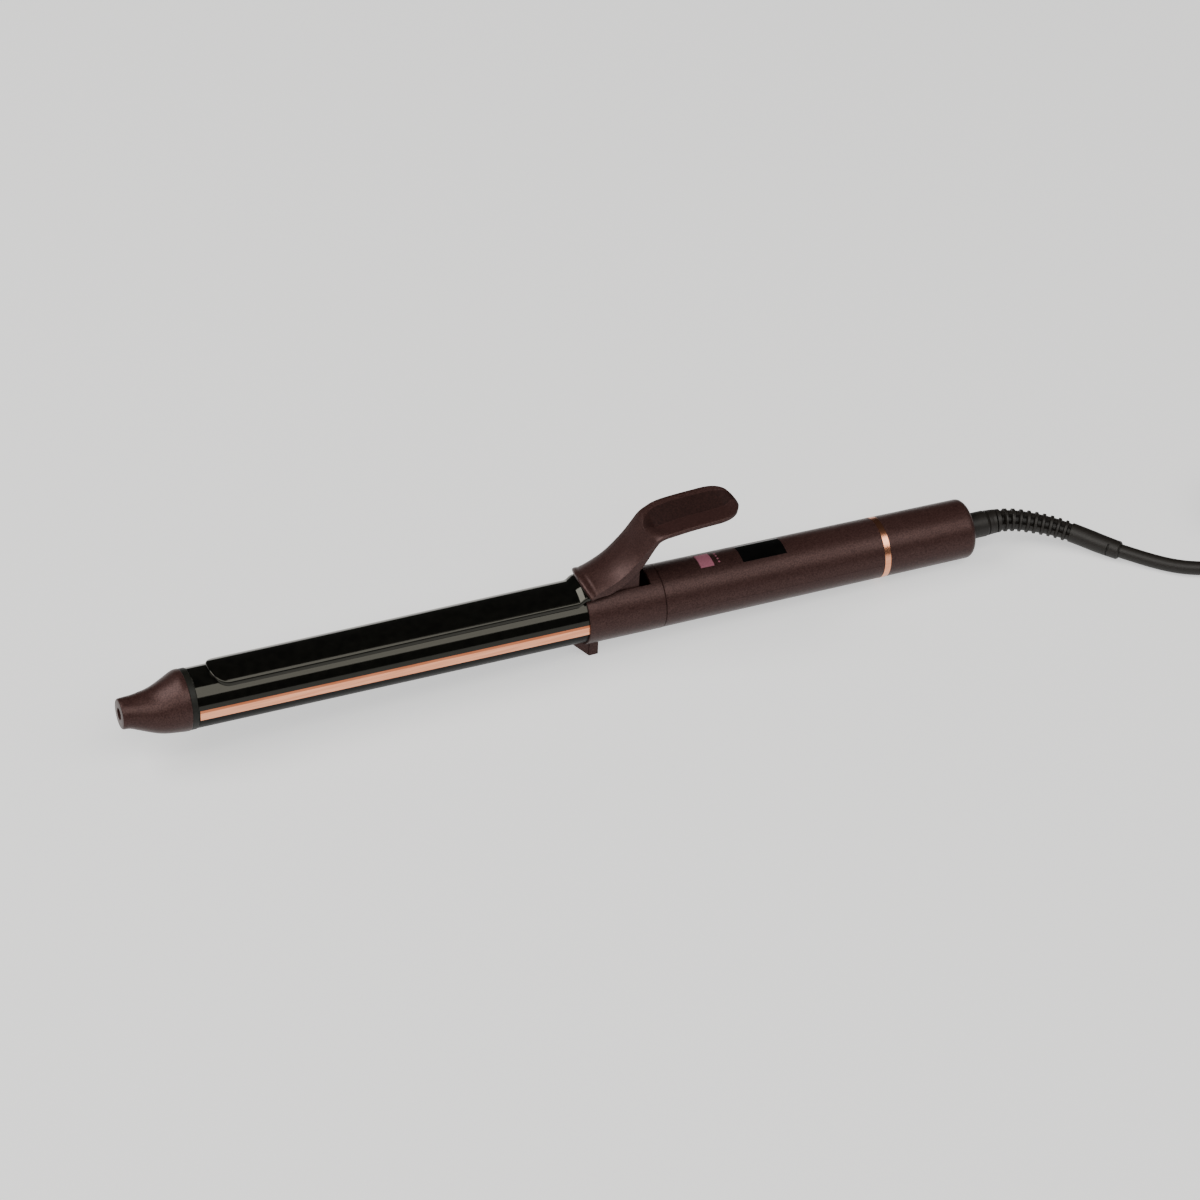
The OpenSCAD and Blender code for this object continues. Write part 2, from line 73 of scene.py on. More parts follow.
# ---------------------------------------------------------------- materials
def shader(name, colour, rough, metal=0.0, coat=0.0, coat_rough=0.05, spec=0.5):
    """A plain material, its node tree and its shader node."""
    m = bpy.data.materials.new(name)
    m.use_nodes = True
    b = m.node_tree.nodes["Principled BSDF"]
    b.inputs["Base Color"].default_value = (*colour, 1)
    b.inputs["Roughness"].default_value = rough
    b.inputs["Metallic"].default_value = metal
    b.inputs["Coat Weight"].default_value = coat
    b.inputs["Coat Roughness"].default_value = coat_rough
    b.inputs["Specular IOR Level"].default_value = spec
    return m, m.node_tree, b


def noise(tree, scale, detail, stretch=(1, 1, 1)):
    """Noise in the object's own space, with `scale` cells to the metre."""
    coord = tree.nodes.new("ShaderNodeTexCoord")
    move = tree.nodes.new("ShaderNodeMapping")
    move.inputs["Scale"].default_value = stretch
    tex = tree.nodes.new("ShaderNodeTexNoise")
    tex.inputs["Scale"].default_value = scale
    tex.inputs["Detail"].default_value = detail
    tree.links.new(coord.outputs["Object"], move.inputs["Vector"])
    tree.links.new(move.outputs["Vector"], tex.inputs["Vector"])
    return tex


def tint(tree, b, tex, dark, light):
    """Base colour that runs from dark to light over the middle of the noise's range."""
    ramp = tree.nodes.new("ShaderNodeValToRGB")
    ramp.color_ramp.elements[0].position = 0.35
    ramp.color_ramp.elements[1].position = 0.65
    ramp.color_ramp.elements[0].color = (*dark, 1)
    ramp.color_ramp.elements[1].color = (*light, 1)
    tree.links.new(tex.outputs["Fac"], ramp.inputs["Fac"])
    tree.links.new(ramp.outputs["Color"], b.inputs["Base Color"])


def vary_rough(tree, b, tex, low, high):
    """Roughness that the noise moves between low and high."""
    ramp = tree.nodes.new("ShaderNodeMapRange")
    ramp.inputs["To Min"].default_value = low
    ramp.inputs["To Max"].default_value = high
    tree.links.new(tex.outputs["Fac"], ramp.inputs["Value"])
    tree.links.new(ramp.outputs["Result"], b.inputs["Roughness"])


def bump(tree, b, tex, strength, distance):
    """A fine bump from the noise, `distance` metres deep."""
    n = tree.nodes.new("ShaderNodeBump")
    n.inputs["Strength"].default_value = strength
    n.inputs["Distance"].default_value = distance
    tree.links.new(tex.outputs["Fac"], n.inputs["Height"])
    tree.links.new(n.outputs["Normal"], b.inputs["Normal"])


def textured(name, dark, light, rough, metal=0.0, coat=0.0, coat_rough=0.05, spec=0.5,
             grain=1500, depth=0.00002, strength=0.3, spread=0.06, stretch=(1, 1, 1)):
    """A material with a grain in its colour and bump and a slower noise in its roughness."""
    m, tree, b = shader(name, light, rough, metal, coat, coat_rough, spec)
    tex = noise(tree, grain, 3.0, stretch)
    tint(tree, b, tex, dark, light)
    vary_rough(tree, b, noise(tree, grain / 12, 2.0), max(0.02, rough - spread), min(1, rough + spread))
    bump(tree, b, tex, strength, depth)
    return m


PLUM = textured("plum_satin", (0.026, 0.0115, 0.0105), (0.050, 0.025, 0.0225), 0.38, metal=0.35, spec=0.16,
                grain=1700, depth=0.00004, strength=0.5)
# A darker copy of the plum: painted shade for the near half of the lever's dish
PLUM_PAINTED_SHADE = textured("plum_painted_shade", (0.019, 0.0075, 0.0068), (0.034, 0.0150, 0.0135), 0.6, spec=0.12,
                     grain=1600, depth=0.00005, strength=0.5)
BLACK = textured("black_enamel_gloss", (0.0018, 0.0018, 0.0016), (0.003, 0.003, 0.0026), 0.09, coat=0.2,
                 coat_rough=0.04, spec=0.22, grain=300, depth=0.000004, strength=0.08, spread=0.02)
# The barrel below its strips, where the pale floor would light a gloss finish too much
BLACK_LOW = textured("black_enamel_satin", (0.0018, 0.0018, 0.0016), (0.003, 0.003, 0.0026), 0.35, spec=0.06,
                     grain=300, depth=0.000004, strength=0.08, spread=0.02)
enamel = BLACK.node_tree.nodes["Principled BSDF"]
enamel.inputs["Coat Tint"].default_value = (1.0, 0.97, 0.82, 1)
enamel.inputs["Specular Tint"].default_value = (1.0, 0.96, 0.80, 1)
GOLD = textured("rose_gold_polish", (0.72, 0.29, 0.16), (0.86, 0.39, 0.23), 0.24, metal=1.0, grain=900,
                depth=0.000004, strength=0.1, spread=0.04, stretch=(0.05, 1, 1))
# A darker copy of the rose gold: painted shade on the strips' bevels
GOLD_BEVEL_PAINTED_SHADE = textured("rose_gold_bevel_painted_shade", (0.42, 0.13, 0.06), (0.52, 0.18, 0.09), 0.3, metal=1.0, grain=900,
                  depth=0.000004, strength=0.1, stretch=(0.05, 1, 1))
RING = textured("dark_olive_ring", (0.004, 0.004, 0.003), (0.007, 0.007, 0.005), 0.5, spec=0.2, grain=1800)
PINK = textured("pink_soft", (0.25, 0.085, 0.12), (0.29, 0.105, 0.145), 0.42, spec=0.3, grain=1800)
GLASS = textured("window_gloss", (0.001, 0.001, 0.001), (0.002, 0.002, 0.002), 0.07, coat=0.2,
                 coat_rough=0.03, spec=0.25, grain=200, depth=0.000002, strength=0.04, spread=0.01)
RUBBER = textured("cord_rubber", (0.0062, 0.0050, 0.0040), (0.0105, 0.0085, 0.0070), 0.5, spec=0.3,
                  grain=1600, depth=0.00003, strength=0.3)
PAD = textured("pad_grain", (0.0095, 0.0034, 0.0030), (0.019, 0.0073, 0.0062), 0.72, spec=0.1, grain=1500,
               depth=0.00006, strength=0.6)
TIE = textured("tie_velvet", (0.006, 0.006, 0.006), (0.012, 0.0115, 0.011), 0.85, spec=0.2, grain=1300,
               depth=0.00008, strength=0.7)
STEEL = textured("brushed_steel", (0.5, 0.5, 0.5), (0.62, 0.62, 0.62), 0.3, metal=1.0, grain=700,
                 depth=0.000005, stretch=(0.1, 1, 1))
CERAMIC = textured("ceramic_plain", (0.62, 0.58, 0.50), (0.72, 0.68, 0.60), 0.6, grain=1200)
BOARD = textured("board_mask", (0.015, 0.08, 0.04), (0.03, 0.12, 0.06), 0.4, grain=900)
LEAD = textured("lead_sleeve", (0.40, 0.10, 0.06), (0.50, 0.14, 0.09), 0.5, grain=1200)
PIN = textured("pin_nickel", (0.62, 0.58, 0.50), (0.72, 0.68, 0.60), 0.22, metal=1.0, grain=600,
               depth=0.000004, stretch=(0.1, 1, 1))

NODE_MATERIALS = {
    "tip_cap": PLUM, "front_collar": PLUM, "handle_upper": PLUM, "handle_lower": PLUM, "rear_cap": PLUM,
    "thumb_lever": PLUM, "barrel": BLACK, "clip_plate": BLACK, "near_strip": GOLD, "far_strip": GOLD,
    "rose_ring": GOLD, "seal_ring": RING, "power_button": PINK, "indicator_dots": PINK,
    "display_window": GLASS, "display_module": BLACK, "button_switch": RUBBER, "lever_pad": PAD,
    "strain_relief": RUBBER, "power_cord": RUBBER, "cord_hank": RUBBER, "cord_tail": RUBBER,
    "plug_body": RUBBER, "swivel_collar": RUBBER, "swivel_bearing": RUBBER, "cord_tie": TIE,
    "circuit_board": BOARD, "heater_leads": LEAD, "plug_pins": PIN, "heater_plates": CERAMIC,
    "tip_bush": CERAMIC, "barrel_bush": CERAMIC, "temperature_sensor": CERAMIC,
}
for name, obj in nodes.items():
    material = NODE_MATERIALS.get(name, STEEL)
    if not obj.material_slots:
        obj.data.materials.append(material)
    for material_slot in obj.material_slots:
        material_slot.material = material


# ---------------------------------------------------------------- mesh helpers
def piece(name, points, faces, materials, body, replaces=(), angle=35, index=None):
    """A mesh piece on a body; `index` gives each face's material, `angle` is where edges turn sharp."""
    mesh = bpy.data.meshes.new(name)
    mesh.from_pydata([tuple(p) for p in points], [], faces)
    mesh.validate()
    for m in materials:
        mesh.materials.append(m)
    if index is not None:
        mesh.polygons.foreach_set("material_index", index)
    mesh.shade_smooth()
    mesh.update()
    obj = bpy.data.objects.new(name, mesh)
    bpy.context.scene.collection.objects.link(obj)
    mesh.set_sharp_from_angle(angle=math.radians(angle))
    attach(obj, body)
    if replaces:
        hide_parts(*replaces)
    return obj


def grid_faces(rows, cols, close_rows=False, close_cols=True):
    """Quads over rows of `cols` points each."""
    faces = []
    for i in range(rows if close_rows else rows - 1):
        for j in range(cols if close_cols else cols - 1):
            a, b = i * cols, (i + 1) % rows * cols
            n = (j + 1) % cols
            faces.append((a + j, a + n, b + n, b + j))
    return faces


TURN_STEPS = 128  # points round a turned piece


def turned(rings):
    """Points round the iron's axis from (station, radius, drop below the axis) rings."""
    turns = [2 * math.pi * k / TURN_STEPS for k in range(TURN_STEPS)]
    return [at(s, r * math.sin(a), r * math.cos(a) - drop) for s, r, drop in rings for a in turns]


def lathe(name, outline, material, replaces):
    """A turned solid on the iron from a closed outline of (station, radius) points."""
    return piece(name, turned([(s, r, 0) for s, r in outline]), grid_faces(len(outline), TURN_STEPS, True),
                 [material], "iron", replaces, 30)


def spline(points, step):
    """A smooth line through points, with a point about every step."""
    pts = [Vector(p) for p in points]
    out = []
    for i in range(len(pts) - 1):
        p0 = pts[i - 1] if i else 2 * pts[0] - pts[1]
        p1, p2 = pts[i], pts[i + 1]
        p3 = pts[i + 2] if i + 2 < len(pts) else 2 * pts[-1] - pts[-2]
        n = max(1, round((p2 - p1).length / step))
        for k in range(n):
            t = k / n
            out.append(0.5 * (2 * p1 + (p2 - p0) * t + (2 * p0 - 5 * p1 + 4 * p2 - p3) * t * t
                              + (3 * p1 - p0 - 3 * p2 + p3) * t ** 3))
    out.append(pts[-1])
    return out


def ease(t):
    """A smooth step from 0 to 1 while t goes from 0 to 1."""
    t = min(1, max(0, t))
    return t * t * (3 - 2 * t)


# ---------------------------------------------------------------- cord, first of all
# The hank's near end, its middle line, the length of its straight runs and how far the tie draws them in
HANK_X, HANK_Y, RUN, PINCH = 322.0, -33.0, 118.0, 10.0
L1, L2, L3 = 3.9, 10.0, 16.1  # heights of its three layers
WIDE, NARROW = 24, 18  # radii of its outer and inner folds
RUN_POINTS, FOLD_STEPS = 40, 24
CORD_STEP = 2.0
ROUTE = [
    (246, -30.3, 4.6), (250, -34.4, 4.2), (254, -38.4, 3.8), (258, -42.2, 3.5), (262, -45.8, 3.4),
    (266.5, -49.2, 3.4), (271.5, -52, 3.4), (277, -54.2, 3.4), (283, -55.8, 3.5), (289, -56.6, 3.6),
    (295, -56.9, 3.7), (302, -57, 3.8), (309, -57, 3.9), (316, -57, 3.9), (322, -57, 3.9),
]
TAIL = [
    (440, -57, 16.2), (445, -57, 16.2), (449, -57, 15.8), (454, -57, 14.6), (459, -57, 12.9),
    (464, -57, 11), (469, -57, 9.2), (474, -57, 7.9), (478, -57, 7.2), (482, -57, 7),
]


def run(side, r0, r1, z0, z1, shift=(0, 1), climb=(0, 1)):
    """One straight run of the hank: the near ones (-1) go away from the iron, the far ones come back."""
    out = []
    for i in range(RUN_POINTS):
        f = i / (RUN_POINTS - 1)
        x = f * RUN if side < 0 else (1 - f) * RUN
        r = r0 + (r1 - r0) * ease((f - shift[0]) / (shift[1] - shift[0]))
        z = z0 + (z1 - z0) * ease((f - climb[0]) / (climb[1] - climb[0]))
        r -= PINCH * (1 - math.cos(2 * math.pi * x / RUN)) / 2
        out.append(Vector((HANK_X + x, HANK_Y + side * r, z)))
    return out


def fold(end, r, z0, z1):
    """One round end of the hank: the far one (1) or the one next to the iron (-1)."""
    out = []
    for i in range(1, FOLD_STEPS):
        a = math.pi * i / FOLD_STEPS
        x = HANK_X + (RUN + r * math.sin(a) if end > 0 else -r * math.sin(a))
        out.append(Vector((x, HANK_Y - end * r * math.cos(a), z0 + (z1 - z0) * ease(i / FOLD_STEPS))))
    return out


winding = (
    run(-1, WIDE, WIDE, L1, L1) + fold(1, WIDE, L1, L1)
    + run(1, WIDE, NARROW, L1, L1, shift=(0.62, 1)) + fold(-1, NARROW, L1, L1)
    + run(-1, NARROW, NARROW, L1, L1) + fold(1, NARROW, L1, L1)
    + run(1, NARROW, NARROW, L1, L2, climb=(0.22, 0.7)) + fold(-1, NARROW, L2, L2)
    + run(-1, NARROW, NARROW, L2, L2) + fold(1, NARROW, L2, L2)
    + run(1, NARROW, WIDE, L2, L2, shift=(0, 0.3)) + fold(-1, WIDE, L2, L2)
    + run(-1, WIDE, WIDE, L2, L2) + fold(1, WIDE, L2, L3)
    + run(1, WIDE, WIDE, L3, L3) + fold(-1, WIDE, L3, L3)
    + run(-1, WIDE, WIDE, L3, L3)
)
line = spline(ROUTE, CORD_STEP)[:-1] + winding[:-1] + spline(TAIL, CORD_STEP)
curve = bpy.data.curves.new("mains_cord", "CURVE")
curve.dimensions = "3D"
curve.bevel_depth = 0.003
curve.bevel_resolution = 5
curve.use_fill_caps = True
wire = curve.splines.new("POLY")
wire.points.add(len(line) - 1)
for p, q in zip(wire.points, line):
    p.co = (*mm(q), 1)
wire.use_smooth = True
curve.materials.append(RUBBER)
mains_cord = bpy.data.objects.new("mains_cord", curve)
bpy.context.scene.collection.objects.link(mains_cord)
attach(mains_cord, "cord")
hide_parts("power_cord", "cord_hank", "cord_tail")

# The strain relief: a socket, ribs with a window between each pair on both sides, and a plain sleeve
RELIEF = [tuple(v * 1000 for v in at(384, 0, 0)), tuple(v * 1000 for v in at(386.4, 0, 0))] + [
    (202, -0.5, 12.3), (205, -0.9, 12.1), (208, -1.7, 11.9), (211, -2.8, 11.6), (214, -4.2, 11.2),
    (217, -5.7, 10.7), (219.9, -7.3, 10.2), (222.7, -9, 9.7), (225.4, -10.8, 9.1), (228, -12.8, 8.5),
    (230.5, -14.8, 7.9), (232.9, -17, 7.3), (235.2, -19.2, 6.7), (237.4, -21.5, 6.2), (239.6, -23.8, 5.7),
    (241.8, -26.1, 5.3), (244, -28.3, 4.9), (246, -30.3, 4.6),
]


BOOT_SIDES = 64


def tube_rows(path, radius):
    """Rings round a path (mm); radius(i, angle) gives each point's radius, and angle 0 is straight up."""
    pts = []
    for i, p in enumerate(path):
        t = (path[min(i + 1, len(path) - 1)] - path[max(i - 1, 0)]).normalized()
        side = t.cross(Vector((0, 0, 1))).normalized()
        up = side.cross(t)
        for k in range(BOOT_SIDES):
            a = 2 * math.pi * k / BOOT_SIDES
            pts.append(mm(p + radius(i, a) * (math.cos(a) * up + math.sin(a) * side)))
    return pts


centre = spline(RELIEF, 0.2)
travel = [0.0]
for a, b in zip(centre, centre[1:]):
    travel.append(travel[-1] + (b - a).length)
SOCKET_R, SOCKET_FALL = 5.4, 0.3
RIB_START, RIB_PITCH, RIBS = 4.4, 3.3, 10
RIB_R, RIB_FALL, FALL_LEN = 5.15, 0.75, 38
GROOVE_DEPTH, WINDOW_R = 0.75, 2.5
WINDOW_TURN, WINDOW_COS = math.radians(50), 0.88
SLEEVE_R, SLEEVE_FALL, SLEEVE_LEN = 4.2, 0.2, 12
SLIT_FROM_END, SLIT_HALF, SLIT_R, SLIT_COS = 5.0, 0.3, 3.5, 0.8
LIP_R, LIP_FALL, LIP_LEN = 3.9, 0.4, 0.5


def sleeve_radius(end, a):
    """Radius of the plain sleeve at a distance from its end: a slit on both sides, and a lip at the end."""
    if end < LIP_LEN:
        return LIP_R - LIP_FALL * (1 - end / LIP_LEN)
    if abs(end - SLIT_FROM_END) < SLIT_HALF and abs(math.cos(a)) < SLIT_COS:
        return SLIT_R
    return SLEEVE_R - SLEEVE_FALL * ease(1 - end / SLEEVE_LEN)


def relief_radius(i, a):
    """Radius of the strain relief at a point of its centre line and an angle from straight up."""
    d = travel[i]
    if d < RIB_START:
        return SOCKET_R - SOCKET_FALL * d / RIB_START
    k = (d - RIB_START) / RIB_PITCH
    if k >= RIBS:
        return sleeve_radius(travel[-1] - d, a)
    crest = RIB_R - RIB_FALL * min(1, d / FALL_LEN)
    phase = k % 1
    rib = ease((phase - 0.02) / 0.1) * ease((0.56 - phase) / 0.1)
    window = abs(math.cos(a - WINDOW_TURN)) > WINDOW_COS
    low = WINDOW_R if window else crest - GROOVE_DEPTH
    return low + (crest - low) * rib


caps = [tuple(range(BOOT_SIDES - 1, -1, -1)),
        tuple(range((len(centre) - 1) * BOOT_SIDES, len(centre) * BOOT_SIDES))]
boot = piece("ribbed_boot", tube_rows(centre, relief_radius), grid_faces(len(centre), BOOT_SIDES) + caps,
             [RUBBER], "cord", ("strain_relief",), 40)

# ---------------------------------------------------------------- tip, barrel and strips
BARREL_R, BORE_R, BORE_END = 12.5, 2.4, 9.5
FACE_X, BAND_X, BARREL_X, BARREL_END = -1.4, 25.6, 28.2, 199
RING_R, ROUND = 12.7, 0.15
BARREL_ROWS = 30
# The tip's sections: station, radius and how far each drops below the axis
NOSE = [
    (0.6, 6.5, 0.25), (2, 6.65, 0.35), (5, 7.3, 1), (8, 8.15, 1.5), (11, 9, 1.9), (14, 9.95, 1.95),
    (17, 10.9, 1.5), (20, 11.8, 0.8), (22, 12.4, 0.3), (23.5, 12.75, 0.05), (24.4, 12.84, 0),
]
# Its bore and its face with a round edge come before them, and a short band after them
MOUTH = [
    (BORE_END, 0.01, 0), (BORE_END, BORE_R, 0), (-1.15, BORE_R, 0.1), (FACE_X, 2.65, 0.2),
    (FACE_X, 5.7, 0.25), (-1.33, 6.0, 0.25), (-1.1, 6.25, 0.25), (-0.7, 6.42, 0.25),
]
BAND = [(25.4, 12.85, 0), (BAND_X, 12.7, 0), (BAND_X, 0.01, 0)]

tip_rings = MOUTH + [tuple(v) for v in spline(NOSE, 0.6)] + BAND
piece("tip_flare", turned(tip_rings), grid_faces(len(tip_rings), TURN_STEPS, True), [PLUM], "iron",
      ("tip_cap",), 24)
lathe("tip_seal", [
    (BAND_X, 11), (BAND_X, RING_R - ROUND), (BAND_X + ROUND, RING_R), (BARREL_X - ROUND, RING_R),
    (BARREL_X, RING_R - ROUND), (BARREL_X, 11),
], RING, ("seal_ring",))
barrel_front = BARREL_X + ROUND
barrel = lathe("barrel_tube", [
    (BARREL_X, 11.4), (BARREL_X, 12.4), (barrel_front, BARREL_R),
    *[(barrel_front + (BARREL_END - barrel_front) * i / BARREL_ROWS, BARREL_R)
      for i in range(1, BARREL_ROWS + 1)],
    (BARREL_END, 11.4),
], BLACK, ("barrel",))
barrel.data.materials.append(BLACK_LOW)
for face in barrel.data.polygons:
    face.material_index = 1 if face.center.z < at(face.center.x * 1000 + LEN / 2, 0, -0.5).z else 0


def strip(name, side, node):
    """A flat rose-gold bar on the barrel, with a bevel along its upper edge in a darker gold as painted
    shade.
    """
    section = [(11.9, 2.3), (12.3, 2.3), (12.56, 1.25), (12.57, 1.15), (12.57, -2.15), (12.5, -2.3),
               (11.9, -2.3)]
    pts = [at(s, side * y, z) for s in (28.7, 28.8, 120, BARREL_END) for y, z in section]
    n = len(section)
    caps = [tuple(range(n)), tuple(range(4 * n - 1, 3 * n - 1, -1))]
    # The bevel's faces take the darker gold, which is painted shade
    index = [1 if k % n == 1 else 0 for k in range(3 * n)] + [0, 0]
    piece(name, pts, grid_faces(4, n) + caps, [GOLD, GOLD_BEVEL_PAINTED_SHADE], "iron", (node,), 20, index)


strip("near_inlay", -1, "near_strip")
strip("far_inlay", 1, "far_strip")

# ---------------------------------------------------------------- clip plate
R_IN, R_OUT, HALF_W, CORNER, CLIP_X = 12.85, 13.95, 8.9, 7.0, 36.0
PLATE_END, FLARE_LEN = 192, 6
CORNER_STEPS, PLATE_ROWS, FLARE_ROWS, ACROSS = 12, 24, 16, 32


def clip_lift(s):
    """Lift of the clip's surfaces over the barrel: a slow rise along it and a short flare at its rear."""
    return 0.55 * ease((s - 60) / 130) + 1.75 * ease((s - 192.9) / 3.8)


def clip_outline(inset):
    """Half of the clip's plan, from its front to its rear, as (station, half width)."""
    rows = []
    for i in range(CORNER_STEPS + 1):
        a = math.radians(90 * i / CORNER_STEPS)
        rows.append((CLIP_X + CORNER - (CORNER - inset) * math.cos(a),
                     HALF_W - CORNER + (CORNER - inset) * math.sin(a)))
    straight = PLATE_END - CLIP_X - CORNER
    rows += [(CLIP_X + CORNER + straight * i / PLATE_ROWS, HALF_W - inset) for i in range(1, PLATE_ROWS + 1)]
    rows += [(PLATE_END + FLARE_LEN * i / FLARE_ROWS, HALF_W - inset) for i in range(1, FLARE_ROWS + 1)]
    return rows


def clip_plate():
    """The clip: a rounded edge in rings, then its outer and inner face."""
    rings = [(R_IN, 0.0), (R_OUT - 0.5, 0.0), (R_OUT - 0.22, 0.08), (R_OUT - 0.06, 0.24), (R_OUT, 0.5)]
    outlines = [clip_outline(d) for _, d in rings]
    n = len(outlines[0])
    pts, faces = [], []
    loop = 2 * n
    for (r, _), rows in zip(rings, outlines):
        for side in (-1, 1):
            for s, h in (rows if side < 0 else rows[::-1]):
                rr = r + clip_lift(s)
                pts.append(at(s, side * h, math.sqrt(rr * rr - h * h)))
    for k in range(len(rings) - 1):
        for j in range(loop):
            a, b = k * loop + j, k * loop + (j + 1) % loop
            faces.append((a, b, b + loop, a + loop))
    for r, rows, flip in ((R_OUT, outlines[-1], False), (R_IN, outlines[0], True)):
        base = len(pts)
        for s, h in rows:
            rr = r + clip_lift(s)
            for j in range(ACROSS + 1):
                y = h * (2 * j / ACROSS - 1)
                pts.append(at(s, y, math.sqrt(rr * rr - y * y)))
        for f in grid_faces(n, ACROSS + 1, False, False):
            g = tuple(base + v for v in f)
            faces.append(g[::-1] if flip else g)
    piece("clip_tongue", pts, faces, [BLACK], "lever", ("clip_plate",), 50)


clip_plate()

# ---------------------------------------------------------------- thumb lever
# The lever's side view: its upper face as (station, 0, height)
EDGE = [
    (197.2, 0, 15.3), (202, 0, 16.9), (207, 0, 19.2), (211, 0, 21.7), (215, 0, 25.2), (219, 0, 29.4),
    (223, 0, 34.4), (226, 0, 37.6), (230, 0, 39.4), (236, 0, 40.7), (244, 0, 41.5), (254, 0, 42.1),
    (262, 0, 42.75), (264.5, 0, 42), (265.6, 0, 41),
]
LEVER_X, ROUND_X, ROUND_LEN, ROUND_POWER = 197.2, 252.9, 12.7, 2.37
NECK_HALF, LIP_WIDER, PADDLE_WIDER = 10.2, 0.9, 1.9
DISH_X, DISH_ROUND, DISH_DEEP = 224.6, 8.0, 3.2
RIM = [0.35, 0.7, 0.9, 1.0]  # points from the dish's edge to the lever's own edge
DISH_STEPS = 10  # points from the dish's middle line to its edge
PAD_EDGE, SHADE_X = 0.9, 228


def half_width(s):
    """Half of the lever's width: a wider lip in front, a neck, a wider paddle and a round end."""
    t = min(1, max(0, (s - ROUND_X) / ROUND_LEN))
    lip = LIP_WIDER * (1 - ease((s - 197) / 5))
    widest = NECK_HALF + lip + PADDLE_WIDER * ease((s - 220) / 16)
    return widest * math.sqrt(max(0.012, 1 - t ** ROUND_POWER))


def dish_width(s):
    """Half of the dish's width, with a round front."""
    w = half_width(s) - 1.0
    t = (s - DISH_X) / DISH_ROUND
    if t < 1:
        w *= math.sqrt(max(0.003, 1 - (1 - max(0, t)) ** 2))
    return w


def lever_section(s):
    """The closed outline across the lever at a station, as (across, height over the lever's line)."""
    hw, dw = half_width(s), dish_width(s)
    crown = 3.0 * (1 - ease((s - 198) / 27))
    tail = ease((265.9 - s) / 2.0)
    thick = (2.1 + 2.6 * ease((s - 197) / 9) * (1 - ease((s - 214) / 16))) * (0.35 + 0.65 * tail)
    belly = 1.7 * ease((s - 218) / 12) * tail
    deep = DISH_DEEP * ease((s - DISH_X + 0.6) / 5) * ease((265.4 - s) / 6)
    into = s - LEVER_X
    front_round = 0.9 * (1 - math.sqrt(max(0.0, 1 - (1 - min(1, into / 1.1)) ** 2)))
    crease = 0.35 * math.exp(-((into - 2.6) / 0.7) ** 2)
    sunk = front_round + crease
    section = []
    for i in range(-DISH_STEPS, DISH_STEPS + 1):
        c = i / DISH_STEPS
        y = c * dw
        section.append((y, crown * (1 - (y / hw) ** 2) - deep * (1 - abs(c)) ** 1.05 - sunk))
    for f in RIM:
        y = dw + (hw - dw) * f
        edge_round = 0.45 * max(0.0, (f - 0.55) / 0.45) ** 2
        section.append((y, crown * (1 - (y / hw) ** 2) - edge_round - sunk))
    near_rim = [(-y, h) for y, h in section[:-len(RIM) - 1:-1]]
    under = [(hw - 0.02, 0.5 - thick), (hw - 0.3, 0.12 - thick), (hw - 0.8, -thick)]
    for f in (0.75, 0.5, 0.25, 0, -0.25, -0.5, -0.75):
        y = (hw - 0.8) * f
        under.append((y, crown * (1 - (y / hw) ** 2) * 0.85 - thick - belly * (1 - (y / hw) ** 2)))
    under += [(-y, h) for y, h in under[2::-1]]
    return near_rim + section + under


def lever_material(s, across):
    """0 is plain plum, 1 the pad in the dish's far half, 2 painted shade (a darker plum) on the near half
    behind a slanting line.
    """
    if s < DISH_X or not 0 <= across < PAD_EDGE:
        return 0
    if across >= 0.5:
        return 1
    return 2 if s > SHADE_X + 9 * (0.5 - across) else 0


def thumb_lever():
    """The lever, from sections that stand square to its side view."""
    path = spline(EDGE, 0.4)
    pts = []
    for i, p in enumerate(path):
        t = (path[min(i + 1, len(path) - 1)] - path[max(i - 1, 0)]).normalized()
        hw = half_width(p.x)
        section = lever_section(p.x)
        for y, h in section:
            bow = 1.0 * (1 - ease((p.x - LEVER_X) / 6)) * (1 - (y / hw) ** 2)
            pts.append(at(*Vector((p.x - t.z * h - bow, y, p.z + t.x * h))))
    cols = len(section)
    faces, index = [], []
    for i in range(len(path) - 1):
        for j in range(cols):
            a, b, n = i * cols, (i + 1) * cols, (j + 1) % cols
            faces.append((a + j, b + j, b + n, a + n))
            index.append(lever_material(path[i].x, (j - len(RIM) + 0.5) / (2 * DISH_STEPS)))
    faces.append(tuple(range(cols)))
    faces.append(tuple(range(len(path) * cols - 1, (len(path) - 1) * cols - 1, -1)))
    index += [0, 0]
    piece("thumb_paddle", pts, faces, [PLUM, PAD, PLUM_PAINTED_SHADE], "lever",
          ("thumb_lever", "lever_pad", "clip_rivets"), 28, index)


thumb_lever()

# The web under the lever goes down into the collar's slot, round the hinge pin
WEB = [(203, 16), (203, 13.9), (205.8, 8.5), (205.8, 4.2), (208, 3.4), (212, 4), (218, 7.4), (221, 10),
       (221, 29.0), (215, 22.9), (209, 19)]
WEB_HALF, WEB_BEVEL = 6.0, 0.35


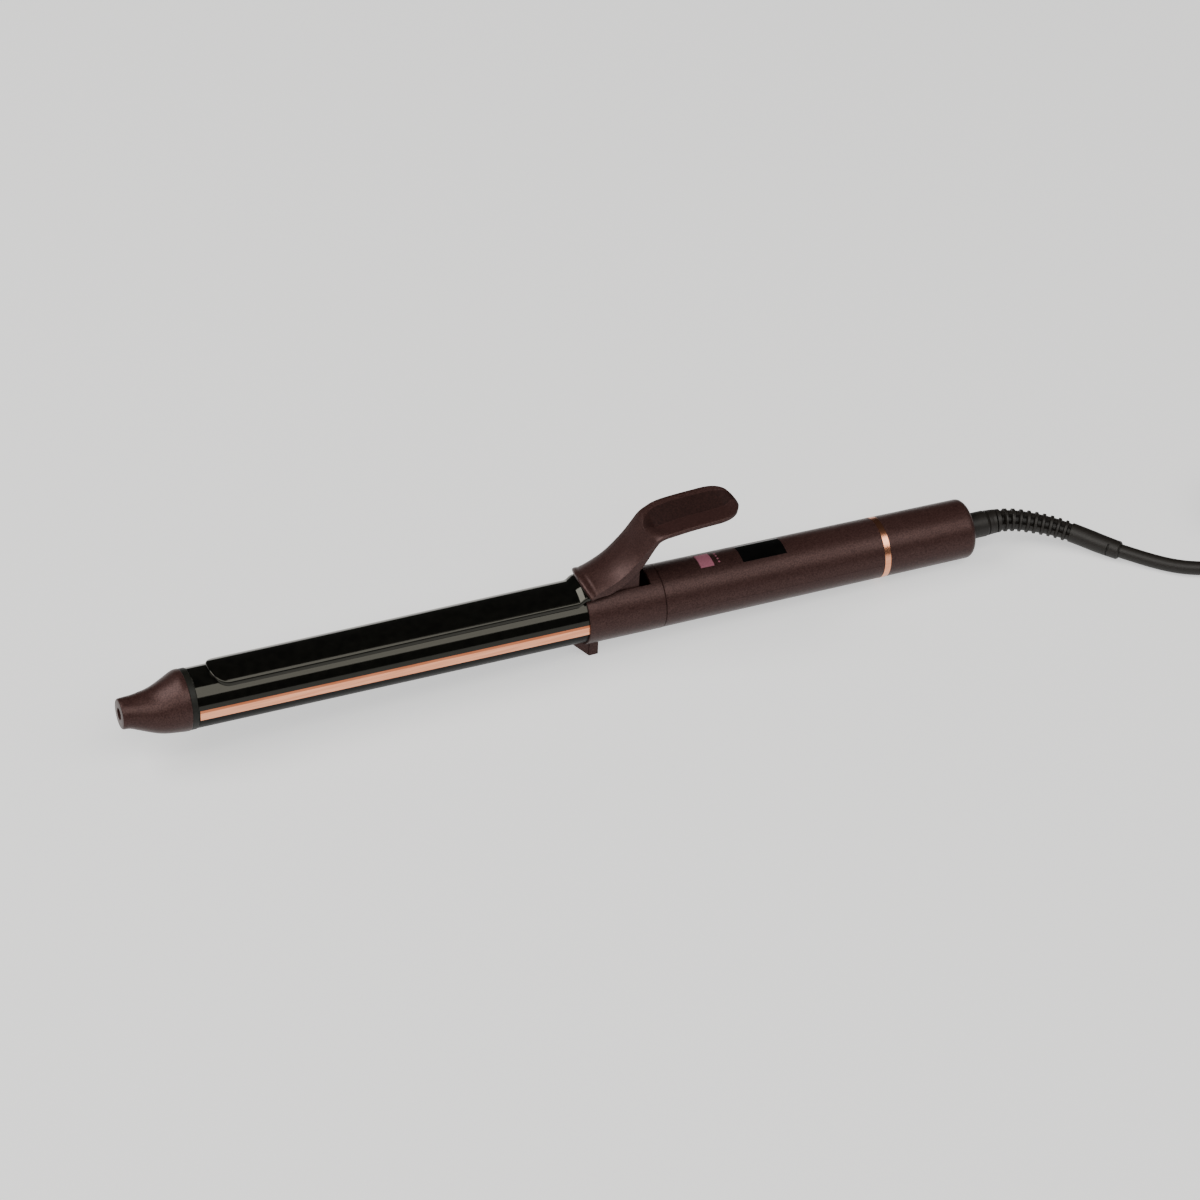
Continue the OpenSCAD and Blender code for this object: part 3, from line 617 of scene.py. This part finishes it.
def web():
    """The web, with its outline drawn in a little at both faces."""
    flat = WEB_HALF - WEB_BEVEL
    sides = [(-WEB_HALF, WEB_BEVEL), (-flat, 0.0), (flat, 0.0), (WEB_HALF, WEB_BEVEL)]
    mid = Vector((sum(p[0] for p in WEB), sum(p[1] for p in WEB))) / len(WEB)
    pts = []
    for y, inset in sides:
        for s, z in WEB:
            d = (mid - Vector((s, z))).normalized() * inset
            pts.append(at(s + d.x, y, z + d.y))
    n = len(WEB)
    caps = [tuple(range(n - 1, -1, -1)), tuple(range(3 * n, 4 * n))]
    piece("lever_web", pts, grid_faces(4, n) + caps, [PLUM], "lever", (), 30)


web()

# ---------------------------------------------------------------- floor and lights
# The floor lies just under the table plane, so that it never cuts the iron's own faces
bpy.ops.mesh.primitive_plane_add(size=14, location=(0, 0, -0.0002))
floor = bpy.context.object
floor.name = "floor"
pale, _, glow = shader("pale_floor", (0.45, 0.45, 0.45), 0.5, spec=0.1)
glow.inputs["Emission Color"].default_value = (1, 1, 1, 1)
glow.inputs["Emission Strength"].default_value = 0.75
floor.data.materials.append(pale)


def softbox(name, elevation, azimuth, distance, wide, tall, power, colour):
    """A soft light that faces the origin; azimuth 0 is in front of the iron, -90 beyond its tip."""
    light = bpy.data.lights.new(name, "AREA")
    light.shape = "RECTANGLE"
    light.size, light.size_y = wide, tall
    light.energy = power
    light.color = colour
    obj = bpy.data.objects.new(name, light)
    bpy.context.scene.collection.objects.link(obj)
    e, a = math.radians(elevation), math.radians(azimuth)
    back = Vector((math.sin(a) * math.cos(e), -math.cos(a) * math.cos(e), math.sin(e)))
    obj.location = back * distance
    obj.rotation_mode = "QUATERNION"
    obj.rotation_quaternion = (-back).to_track_quat("-Z", "Y")


softbox("front_box", 53, 0, 2.9, 5.0, 2.0, 128, (1.0, 0.985, 0.94))
softbox("left_box", 52, -102, 2.6, 2.0, 1.2, 66, (1.0, 0.98, 0.95))
world = bpy.data.worlds.new("studio")
world.use_nodes = True
sky = world.node_tree.nodes["Background"]
sky.inputs["Color"].default_value = (0.30, 0.30, 0.30, 1)
sky.inputs["Strength"].default_value = 0.12
bpy.context.scene.world = world
